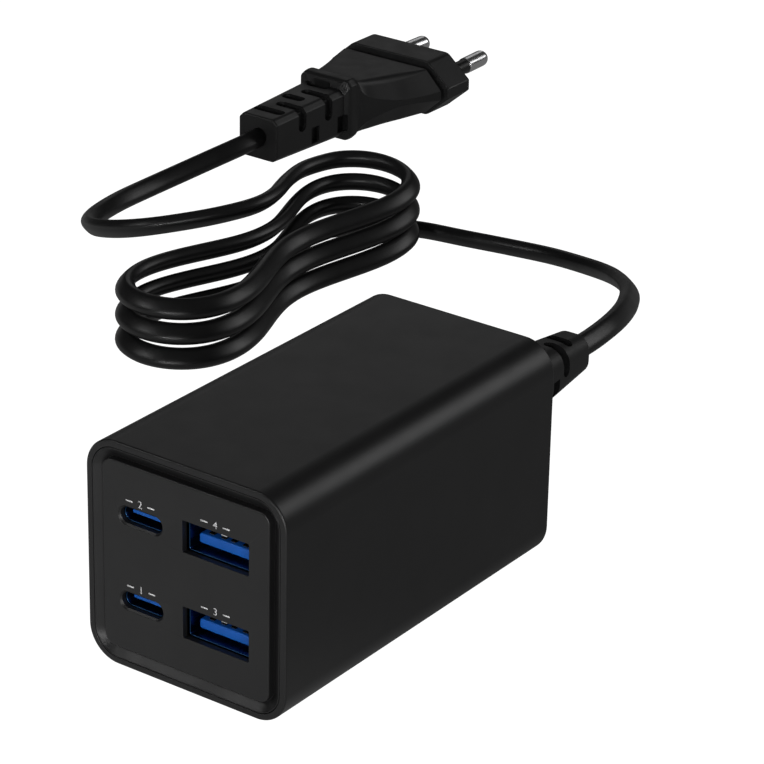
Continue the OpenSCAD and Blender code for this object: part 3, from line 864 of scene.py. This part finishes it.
SLOT_DEPTH = 1.7 * MM
SLOT_OUT = 1 * MM
SLOT_STEPS = 44
ENTRY_DEPTH = 3 * MM
ENTRY_HALF = (2.7 * MM, 2 * MM)
# Where slots start and stop, as parts of the half-width or, down the sides, of the half-height
OVAL_REACH = (-0.62, 0.4)
SIDE_REACH = (0.02, 0.72)
SIDE_WIDER = 1.05


def outline_walk(half_w, half_h, corner, start, stop):
    """Points and outward ways along a rounded rectangle; start and stop count round it in metres
    from the middle of the top, clockwise seen from the end that the cord enters."""
    flat_w, flat_h, bend = half_w - corner, half_h - corner, math.pi / 2 * corner
    found = []
    for k in range(SLOT_STEPS + 1):
        s = start + (stop - start) * k / SLOT_STEPS
        if s <= flat_w:
            found.append(((s, half_h), (0, 1)))
        elif s <= flat_w + bend:
            a = math.pi / 2 - (s - flat_w) / corner
            way = (math.cos(a), math.sin(a))
            found.append(((flat_w + corner * way[0], flat_h + corner * way[1]), way))
        else:
            found.append(((half_w, flat_h - (s - flat_w - bend)), (1, 0)))
    return found


def slot_cutter(section, y, centre, start, stop, half_slot, flip=1, round_ends=1):
    """A cutter for a slot that follows a strain relief's section; flip -1 turns it half way round
    the relief's own axis, and round_ends 0 leaves its ends square."""
    depth = min(SLOT_DEPTH, 0.9 * section[2])
    rings = []
    for k, ((u, w), (du, dw)) in enumerate(outline_walk(*section, start, stop)):
        from_end = min(k, SLOT_STEPS - k) / SLOT_STEPS * (stop - start)
        miss = max(0.0, half_slot - from_end) * round_ends
        half = max(math.sqrt(max(half_slot ** 2 - miss ** 2, 0)), 0.02 * MM)
        ring = []
        for out, side in ((-depth, -1), (SLOT_OUT, -1), (SLOT_OUT, 1), (-depth, 1)):
            x, z = centre[0] + flip * (u + du * out), centre[1] + flip * (w + dw * out)
            ring.append(Vector((x, y + side * half, z)))
        rings.append(ring)
    shape = Shape()
    shape.solid(rings)
    return shape.object("cutter")


def relief_cutters(section, y, centre, half_slot, k, first, over):
    """The slots round one place of a relief, counted by k from the end that the cord enters: by
    turns an oval above and below with a short slot in each side, and a slot over one corner. The
    reach of the first ovals and of the slots over a corner is the relief's own."""
    half_w, half_h, corner = section
    side = half_w - corner + math.pi / 2 * corner + half_h - corner
    found = []
    for flip in (1, -1):
        if k % 2:
            start, stop = half_w * over[0], side + half_h * over[1]
            found.append(slot_cutter(section, y, centre, start, stop, half_slot, flip))
            continue
        start, stop = (half_w * part for part in (OVAL_REACH if k else first))
        found.append(slot_cutter(section, y, centre, start, stop, half_slot, flip))
        if k:
            start, stop = (side + half_h * part for part in SIDE_REACH)
            found.append(slot_cutter(section, y, centre, start, stop, half_slot * SIDE_WIDER, flip, 0))
    return found


def recess_cutter(outline, y_low, y_high, centre):
    shape = Shape()
    shape.solid([upright(outline, y, centre) for y in (y_low, y_high)])
    return shape.object("cutter")


def entry_cutter(y_low, y_high, centre):
    """The hollow that the cord goes in by, which leans as the cord does."""
    c, s = math.sin(CORD_LEAN), math.cos(CORD_LEAN)
    outline = [(u * c - w * s, u * s + w * c) for u, w in stadium(*ENTRY_HALF)]
    return recess_cutter(outline, y_low, y_high, centre)


BOOT_LOW, BOOT_HIGH = box_of("cable_boot")
BOOT_BASE = 7.7 * MM
BOOT_END = 3.9 * MM
BOOT_CORNER = 5.3 * MM
BOOT_END_CORNER = 2.9 * MM
BOOT_FLANGE = (9.5 * MM, 2.5 * MM)
BOOT_SLOTS = 8
BOOT_SLOT_AT = 5.6 * MM
BOOT_SLOT_PITCH = 3.8 * MM
BOOT_SLOT_HALF = 1.15 * MM
BOOT_REACHES = ((-0.55, 0.75), (-0.1, 0.15))


def boot_section(y):
    """The boot's half-width, half-height and corner radius at one place."""
    t = max(0.0, (y - REAR_Y) / (BOOT_HIGH.y - REAR_Y))
    half = BOOT_BASE + (BOOT_END - BOOT_BASE) * t
    return half, half, BOOT_CORNER + (BOOT_END_CORNER - BOOT_CORNER) * t


def make_boot():
    shape = Shape()
    centre = (0, BRICK_MID)
    edge = 0.45 * MM
    root = BOOT_FLANGE[0] - BOOT_BASE
    flange_end = BOOT_LOW.y + BOOT_FLANGE[1]
    profile = [(BOOT_LOW.y, root), (flange_end, root), (flange_end + 0.02 * MM, 0)]
    steps = 12
    profile += [(REAR_Y + (BOOT_HIGH.y - edge - REAR_Y) * k / steps, 0) for k in range(steps + 1)]
    profile += [(BOOT_HIGH.y - edge + back, out - edge) for out, back in arc((0, 0), edge, 15, 90, 5)]
    rings = []
    for y, grown in profile:
        half, _, corner = boot_section(y)
        rings.append(upright(rounded(half + grown, half + grown, corner, 8), y, centre))
    shape.solid(rings)
    piece = shape.object("lead_boot")
    cutters = []
    for k in range(BOOT_SLOTS):
        y = BOOT_HIGH.y - BOOT_SLOT_AT - k * BOOT_SLOT_PITCH
        cutters += relief_cutters(boot_section(y), y, centre, BOOT_SLOT_HALF, k, *BOOT_REACHES)
    cutters.append(entry_cutter(BOOT_HIGH.y - ENTRY_DEPTH, BOOT_HIGH.y + 1 * MM, centre))
    cut(piece, cutters)
    return finish_piece(piece, "boot_rubber", "cable_boot")


boot = make_boot()

# ---------------- mains plug

PLUG_LOW, PLUG_HIGH = box_of("plug_body")
PLUG_X = (PLUG_LOW.x + PLUG_HIGH.x) / 2
PLUG_Z = middle("plug_insert").z
PLUG_START = PLUG_LOW.y
PLUG_FACE = PLUG_HIGH.y
FACE_HALF = ((PLUG_HIGH.x - PLUG_LOW.x) / 2, 6.85 * MM)
RELIEF_LENGTH = 26 * MM
RELIEF_END = (5.6 * MM, 5.3 * MM)
RELIEF_GROW = 0.65 * MM
RELIEF_CORNER = 1.3 * MM

# Sections of the plug behind its groove, in millimetres: place along the axis, half-width, top,
# ridge above and below the middle, bottom, half-width of the flat top, corner radius
PLUG_SECTIONS = (
    (25.2, 6.3, 6.2, 4.9, -4.6, 6.0, 4.9, 1.3),
    (25.5, 6.9, 7.3, 5.8, -5.2, 6.6, 5.6, 1.1),
    (26.0, 7.3, 7.9, 6.5, -5.6, 6.95, 6.0, 1.0),
    (26.7, 7.5, 8.08, 6.7, -5.7, 7.08, 6.1, 1.0),
    (28.4, 7.5, 8.08, 6.7, -5.7, 7.08, 6.1, 1.0),
    (29.2, 7.4, 7.8, 6.3, -5.3, 6.9, 6.0, 1.2),
    (30.0, 7.6, 7.2, 4.8, -4.6, 6.45, 6.1, 1.8),
    (31.5, 8.3, 6.8, 3.1, -3.3, 6.2, 6.8, 2.2),
    (34.0, 9.6, 6.6, 2.0, -2.3, 6.15, 7.5, 2.6),
    (37.0, 10.9, 6.4, 1.2, -1.5, 6.0, 8.4, 2.8),
    (40.0, 12.2, 6.25, 0.6, -0.9, 5.9, 9.3, 2.8),
    (43.0, 13.6, 6.1, 0.5, -0.8, 5.8, 10.2, 2.6),
    (46.0, 15.0, 5.9, 0.6, -0.9, 5.6, 11.1, 2.2),
    (50.1, 16.8, 5.7, 0.9, -1.2, 5.4, 12.2, 1.2),
)
GROOVE = (50.1, 52.1)
GROOVE_DEPTH_MM = 1.6
RIDGE_CORNER = (0.25, 0.7)
FLANGE_RIDGE = 1.27
FLANGE_FLAT = 11.2
FLANGE_CORNER = 2.4


def eight_outline(section):
    """A plug section: eight corners, each rounded, always with the same number of points."""
    _, half, top, ridge_top, ridge_low, low, flat, corner = section
    ridge = min(RIDGE_CORNER[1], max(RIDGE_CORNER[0], (ridge_top - ridge_low) / 3.2))
    corners = [
        (half, ridge_top, ridge), (flat, top, corner), (-flat, top, corner), (-half, ridge_top, ridge),
        (-half, ridge_low, ridge), (-flat, -low, corner), (flat, -low, corner), (half, ridge_low, ridge),
    ]
    steps = 8
    found = []
    for i, (x, z, radius) in enumerate(corners):
        here = Vector((x, z))
        before = Vector(corners[i - 1][:2]) - here
        after = Vector(corners[(i + 1) % 8][:2]) - here
        half_angle = before.angle(after) / 2
        reach = min(radius / math.tan(half_angle), before.length * 0.46, after.length * 0.46)
        first = here + before.normalized() * reach
        last = here + after.normalized() * reach
        for k in range(steps + 1):
            t = k / steps
            found.append(first * (1 - t) ** 2 + here * 2 * t * (1 - t) + last * t ** 2)
    return [(p.x * MM, p.y * MM) for p in found]


def blend_sections(place):
    """The plug's section at one place, on a smooth curve through the listed ones."""
    rows = PLUG_SECTIONS
    for i in range(len(rows) - 1):
        if rows[i][0] <= place <= rows[i + 1][0]:
            break
    before, here = rows[max(i - 1, 0)], rows[i]
    there, after = rows[i + 1], rows[min(i + 2, len(rows) - 1)]
    span = there[0] - here[0]
    t = (place - here[0]) / span
    values = [place]
    for k in range(1, len(here)):
        leave = (there[k] - before[k]) / max(there[0] - before[0], 1e-6) * span
        arrive = (after[k] - here[k]) / max(after[0] - here[0], 1e-6) * span
        values.append(
            (2 * t ** 3 - 3 * t ** 2 + 1) * here[k] + (t ** 3 - 2 * t ** 2 + t) * leave
            + (3 * t ** 2 - 2 * t ** 3) * there[k] + (t ** 3 - t ** 2) * arrive
        )
    return values


def relief_section(place):
    """The strain relief's section, as a plug section."""
    t = place * MM / RELIEF_LENGTH
    half = RELIEF_END[0] / MM + RELIEF_GROW / MM * t
    high = RELIEF_END[1] / MM + RELIEF_GROW / MM * t
    corner = RELIEF_CORNER / MM
    return (place, half, high, high - corner, corner - high, high, half - corner, corner)


def shrunk(section, by):
    place, half, top, ridge_top, ridge_low, low, flat, corner = section
    corner = max(corner - by * 0.4, 0.4)
    return (place, half - by, top - by, ridge_top, ridge_low, low - by, flat - by * 0.4, corner)


def flange_section(place, inset):
    half, high = FACE_HALF[0] / MM - inset, FACE_HALF[1] / MM - inset
    flat = FLANGE_FLAT - inset * 0.45
    return (place, half, high, FLANGE_RIDGE, -FLANGE_RIDGE, high, flat, FLANGE_CORNER)


def plug_sections():
    """All the plug's sections from the end that the cord enters to its face."""
    edge, flange_edge, rear_edge = 0.5, 0.7, 0.3
    found = [shrunk(relief_section(place), inset) for inset, place in fillet(edge, 270, 180, 5)]
    found += [relief_section(2 + k * 3.3) for k in range(8)]
    place, last = PLUG_SECTIONS[0][0], PLUG_SECTIONS[-1][0]
    steps = 62
    found += [blend_sections(place + (last - place) * k / steps) for k in range(steps + 1)]
    for place, depth in ((GROOVE[0] + 0.08, 0.12), (GROOVE[0] + 0.2, 0.45),
                         (GROOVE[0] + 0.35, GROOVE_DEPTH_MM), (GROOVE[1] - 0.25, GROOVE_DEPTH_MM)):
        found.append(shrunk((place, *PLUG_SECTIONS[-1][1:]), depth))
    for inset, place in fillet(rear_edge, 270, 180, 5):
        found.append(flange_section(GROOVE[1] + place, inset))
    face = (PLUG_FACE - PLUG_START) / MM
    found.append(flange_section(face - 3, 0))
    for inset, place in fillet(flange_edge, 180, 90, 6):
        found.append(flange_section(face - 2 * flange_edge + place, inset))
    return found


PLUG_SLOTS = 5
PLUG_SLOT_AT = 4.6 * MM
PLUG_SLOT_PITCH = 4.9 * MM
PLUG_SLOT_HALF = 1.4 * MM
PLUG_REACHES = ((-0.8, 0.72), (-0.3, 0))
INSERT_HALF = (13 * MM, 4.4 * MM, 4 * MM)
INSERT_DEPTH = 15 * MM


def make_plug_body():
    shape = Shape()
    centre = (PLUG_X, PLUG_Z)
    shape.solid([upright(eight_outline(s), PLUG_START + s[0] * MM, centre) for s in plug_sections()])
    piece = shape.object("plug_moulding")
    cutters = []
    for k in range(PLUG_SLOTS):
        place = PLUG_SLOT_AT + k * PLUG_SLOT_PITCH
        grown = RELIEF_GROW * place / RELIEF_LENGTH
        section = (RELIEF_END[0] + grown, RELIEF_END[1] + grown, RELIEF_CORNER)
        y = PLUG_START + place
        cutters += relief_cutters(section, y, centre, PLUG_SLOT_HALF, k, *PLUG_REACHES)
    cutters.append(entry_cutter(PLUG_START - 1 * MM, PLUG_START + ENTRY_DEPTH, centre))
    seat = rounded(*INSERT_HALF, 12)
    cutters.append(recess_cutter(seat, PLUG_FACE - INSERT_DEPTH, PLUG_FACE + 1 * MM, centre))
    cut(piece, cutters)
    return finish_piece(piece, "plug_rubber", "plug_body", sharp=26)


PIN_HALF_PITCH = 9.3 * MM
PIN_TIP_HALF_PITCH = 8.75 * MM
PIN_LENGTH = box_of("plug_pins")[1].y - PLUG_FACE
PIN_RADIUS = 2 * MM
PIN_CORE = 1.6 * MM
PIN_SLEEVE = 10 * MM
PIN_SLEEVE_RADIUS = 1.8 * MM
PIN_INSIDE = 10 * MM
PIN_TILT = math.atan((PIN_HALF_PITCH - PIN_TIP_HALF_PITCH) / PIN_LENGTH)
PIN_SIDES = 40


def pin_rings(side, profile):
    """Rings round one pin's leaning axis; the profile gives radius and distance from the face."""
    axis = Vector((-side * math.sin(PIN_TILT), math.cos(PIN_TILT), 0))
    across = Vector((axis.y, -axis.x, 0))
    foot = Vector((PLUG_X + side * PIN_HALF_PITCH, PLUG_FACE, PLUG_Z))
    turns = [2 * math.pi * k / PIN_SIDES for k in range(PIN_SIDES)]
    ways = [across * math.cos(a) + UP * math.sin(a) for a in turns]
    return [[foot + axis * along + way * radius for way in ways] for radius, along in profile]


def make_plug_insert():
    """The hard carrier that holds the pins, let in flush with the face."""
    shape = Shape()
    centre = (PLUG_X, PLUG_Z)
    edge = 0.2 * MM
    half_w, half_h, corner = INSERT_HALF
    gap = 0.04 * MM
    sizes = [(gap, PLUG_FACE - INSERT_DEPTH), (gap, PLUG_FACE - 1 * MM)]
    for inset, depth in fillet(edge, 180, 270, 4):
        sizes.append((gap + inset, PLUG_FACE - depth))
    rings = [upright(rounded(half_w - i, half_h - i, corner - i, 12), y, centre) for i, y in sizes]
    bore = PIN_CORE + 0.3 * MM
    sockets = [pin_rings(side, [(bore, 0), (bore, -PIN_INSIDE)]) for side in (-1, 1)]
    shape.loft(rings, start=True)
    shape.plate(rings[-1], [socket[0] for socket in sockets])
    for socket in sockets:
        shape.loft(socket, end=True)
    return shape.piece("pin_carrier", "plug_insert_plastic", "plug_insert")


def make_pins():
    shape = Shape()
    for side in (-1, 1):
        shoulder = 0.15 * MM
        profile = [(PIN_CORE, -PIN_INSIDE), (PIN_CORE, PIN_SLEEVE),
                   (PIN_RADIUS - shoulder, PIN_SLEEVE), (PIN_RADIUS, PIN_SLEEVE + shoulder)]
        profile += arc((0, PIN_LENGTH - PIN_RADIUS), PIN_RADIUS, 0, 88, 10)
        shape.solid(pin_rings(side, profile))
    return shape.piece("nickel_pins", "pin_nickel", "plug_pins", sharp=40)


def make_pin_sleeves():
    shape = Shape()
    lip = 0.15 * MM
    inner = PIN_CORE + 0.02 * MM
    for side in (-1, 1):
        profile = [(inner, -2 * MM), (PIN_SLEEVE_RADIUS, -2 * MM), (PIN_SLEEVE_RADIUS, PIN_SLEEVE - lip)]
        profile += arc((PIN_SLEEVE_RADIUS - lip, PIN_SLEEVE - lip), lip, 20, 90, 4)
        profile.append((inner, PIN_SLEEVE))
        shape.loft(pin_rings(side, profile), closed=True)
    return shape.piece("pin_insulation", "pin_sleeve_plastic", "plug_pin_sleeves", sharp=40)


plug_pieces = [make_plug_body(), make_plug_insert(), make_pins(), make_pin_sleeves()]

# ---------------- carried-over nodes


def paint_nodes():
    """Gives each CAD node that is still shown the procedural material of its slot."""
    for name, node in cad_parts.items():
        for place in node.material_slots:
            if place.material is None:
                continue
            slot_name = place.material.name.split(".")[0]
            if slot_name in MATERIALS:
                place.material = MATERIALS[slot_name]


paint_nodes()

# ---------------- floor, light and finish

# The floor's painted light, seen only in reflections: its glow in the painted shade and in the painted
# pool of light, the span it fades over, and the way towards the pool
FLOOR_DIM = 0.14
FLOOR_LIT = 0.37
FLOOR_FADE = (-0.03, 0.06)
FLOOR_WAY = (-0.58, -0.81)
FLOOR_REACH = 6


def make_floor():
    """A plain pale floor: evenly white to the camera. In reflections it is dimmer, with a painted pool of
    light that is lightest towards the front left and painted shade towards the back right, where the
    brick's shadow would fall."""
    paint = Paint("pale_floor")
    # Painted pool of light and painted shade: a glow that fades from dim at the back right to lit at the
    # front left
    along = paint.add("ShaderNodeVectorMath")
    along.operation = "DOT_PRODUCT"
    paint.link(paint.place, along.inputs[0])
    along.inputs[1].default_value = (*FLOOR_WAY, 0)
    fade = paint.spread(along.outputs["Value"], FLOOR_DIM, FLOOR_LIT, FLOOR_FADE, "SMOOTHSTEP")
    pool = paint.add("ShaderNodeEmission")
    paint.link(fade, pool.inputs["Strength"])
    white = paint.add("ShaderNodeEmission", Strength=1.1)
    mix = paint.add("ShaderNodeMixShader")
    paint.link(paint.add("ShaderNodeLightPath").outputs["Is Camera Ray"], mix.inputs[0])
    paint.link(pool.outputs[0], mix.inputs[1])
    paint.link(white.outputs[0], mix.inputs[2])
    paint.link(mix.outputs[0], paint.tree.nodes["Material Output"].inputs["Surface"])
    shape = Shape()
    sides = ((-1, -1), (1, -1), (1, 1), (-1, 1))
    shape.points = [Vector((x * FLOOR_REACH, y * FLOOR_REACH, 0)) for x, y in sides]
    shape.faces = [(0, 1, 2, 3)]
    floor = shape.object("floor")
    floor.data.materials.append(paint.material)


def hang_light(name, kind, place, aim):
    """Hangs a new light at one place, turned towards another."""
    data = bpy.data.lights.new(name, kind)
    light = add_to_scene(name, data)
    light.location = place
    light.rotation_euler = (aim - light.location).to_track_quat("-Z", "Y").to_euler()
    return data


def add_softbox(name, way, distance, size, glow):
    """A softbox that faces the object from one way; glow is how bright it looks."""
    data = hang_light(name, "AREA", Vector(way).normalized() * distance, Vector())
    data.shape = "RECTANGLE"
    data.size, data.size_y = size
    data.energy = glow * math.pi * size[0] * size[1]


SOFTBOXES = (
    # name, way from the object, distance, size, brightness
    ("overhead", (0.1, -0.15, 1), 1.5, (2.0, 2.0), 0.03),
    ("edge_strip", (0.51, 0.74, 0.44), 1.6, (0.75, 0.72), 1.9),
    ("back_left", (-0.55, 0.74, 0.4), 1.6, (0.9, 0.5), 0.38),
    ("front_right", (0.62, -0.74, 0.16), 1.4, (0.8, 0.5), 6.0),
    ("front_left_high", (-0.53, -0.64, 0.56), 1.5, (0.5, 0.4), 3.4),
)
PORT_SPOT = (0.25, -1.2, 0.3)
PORT_SPOT_POWER = 80
PORT_SPOT_CONE = 5.5
WORLD_GLOW = 0.03


def add_port_light():
    """A narrow spot that reaches into the sockets."""
    data = hang_light("port_spot", "SPOT", PORT_SPOT, Vector((0, FRONT_Y, BRICK_MID)))
    data.energy = PORT_SPOT_POWER
    data.spot_size = math.radians(PORT_SPOT_CONE)
    data.spot_blend = 1.0
    data.shadow_soft_size = 0.12


def make_lights():
    world = bpy.data.worlds.new("studio")
    bpy.context.scene.world = world
    world.use_nodes = True
    background = world.node_tree.nodes["Background"]
    background.inputs["Color"].default_value = (1, 1, 1, 1)
    background.inputs["Strength"].default_value = WORLD_GLOW
    for softbox in SOFTBOXES:
        add_softbox(*softbox)
    add_port_light()


make_floor()
make_lights()
bpy.context.scene.view_settings.view_transform = "Standard"

bpy.context.view_layer.update()
